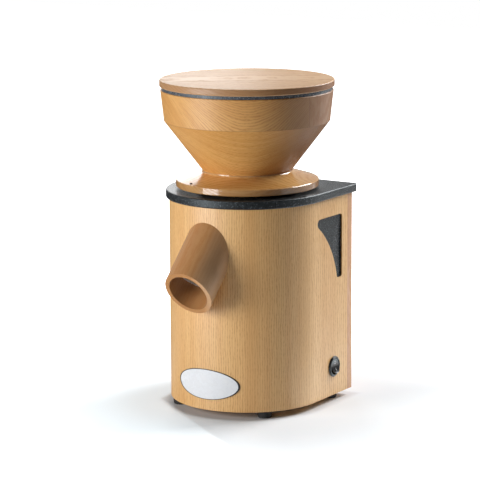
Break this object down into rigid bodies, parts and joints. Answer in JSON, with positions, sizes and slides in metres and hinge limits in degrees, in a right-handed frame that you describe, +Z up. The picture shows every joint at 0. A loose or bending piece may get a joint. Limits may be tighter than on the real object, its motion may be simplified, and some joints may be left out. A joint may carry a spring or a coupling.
{
  "type": "electric grain mill",
  "caption": "Table-top electric stone grain mill with a round-fronted wooden housing, a slanted round spout, a dark top plate, a turned wooden hopper with a lid and a rocker switch.",
  "frame": {"origin": "on the surface the feet stand on, under the middle of the outline seen from above; the stones' axis is 20.232 mm behind it", "axes": "+Z up, the spout and the round front towards -Y, the switch on the +X side"},
  "size_m": [0.207, 0.2474, 0.39],
  "materials": {
    "beech": "satin oiled beech",
    "beech_edge": "satin beech, pinker",
    "composite": "dark speckled composite",
    "black": "gloss",
    "dark_plastic": "matte",
    "white": "gloss",
    "rubber": "matte",
    "steel": "bright zinc-plated",
    "alloy": "machined casting",
    "iron": "painted casting and stacked laminations",
    "brass": "turned",
    "copper": "enamelled copper wire",
    "stone": "bonded corundum grit",
    "felt": "wool felt"
  },
  "bodies": {
    "housing": {"top_plate": "composite", "plate_screws": "steel", "thread_ring": "brass", "milling_chamber": "alloy", "chamber_screws": "steel", "spout": "beech", "shell": "beech", "back_panel": "beech_edge", "corner_blocks": "beech_edge", "base_board": "beech_edge", "base_screws": "steel", "foot_front_left": "rubber", "foot_front_right": "rubber", "foot_rear_left": "rubber", "foot_rear_right": "rubber", "foot_screws": "steel", "grip_lining_left": "composite", "grip_lining_right": "composite", "badge": "white", "switch_bezel": "black", "switch_nut": "dark_plastic", "switch_body": "dark_plastic", "shaft_seal": "felt", "stator_core": "iron", "windings": "copper", "motor_frame": "iron", "upper_end_shield": "iron", "lower_end_shield": "iron", "upper_bearing": "steel", "lower_bearing": "steel", "motor_screws": "steel", "capacitor": "white", "capacitor_clip": "steel", "terminal_block": "white", "cable_gland": "dark_plastic", "gland_nut": "dark_plastic"},
    "seal": {"dust_seal": "felt"},
    "hopper": {"hopper_bowl": "beech", "hopper_flange": "beech", "setting_dot": "black", "stone_carrier": "dark_plastic", "carrier_screws": "steel", "upper_stone": "stone"},
    "lid": {"lid": "beech", "lid_ring": "composite"},
    "rocker": {"switch_rocker": "black"},
    "drive": {"lower_stone": "stone", "stone_driver": "steel", "cap_nut": "steel", "motor_shaft": "steel", "rotor": "iron", "cooling_fan": "dark_plastic"}
  },
  "joints": [
    {"name": "fineness_lift", "type": "slide", "parent": "housing", "child": "seal", "axis": [0, 0, 1], "range_m": [0, 0.00276]},
    {"name": "fineness_turn", "type": "hinge", "parent": "seal", "child": "hopper", "pos_m": [0, 0.02023, 0.2633], "axis": [0, 0, 1], "range_deg": [0, 330]},
    {"name": "lid_lift", "type": "slide", "parent": "hopper", "child": "lid", "axis": [0, 0, 1], "range_m": [0, 0.09]},
    {"name": "rocker_tip", "type": "hinge", "parent": "housing", "child": "rocker", "pos_m": [0.09207, 0.06573, 0.0435], "axis": [0, 1, 0], "range_deg": [0, 24]},
    {"name": "stone_spin", "type": "hinge", "parent": "housing", "child": "drive", "pos_m": [0, 0.02023, 0.1], "axis": [0, 0, 1], "continuous": true}
  ],
  "couplings": [
    {"joint": "fineness_lift", "follows": "fineness_turn", "m_per_rad": 0.00047746}
  ]
}
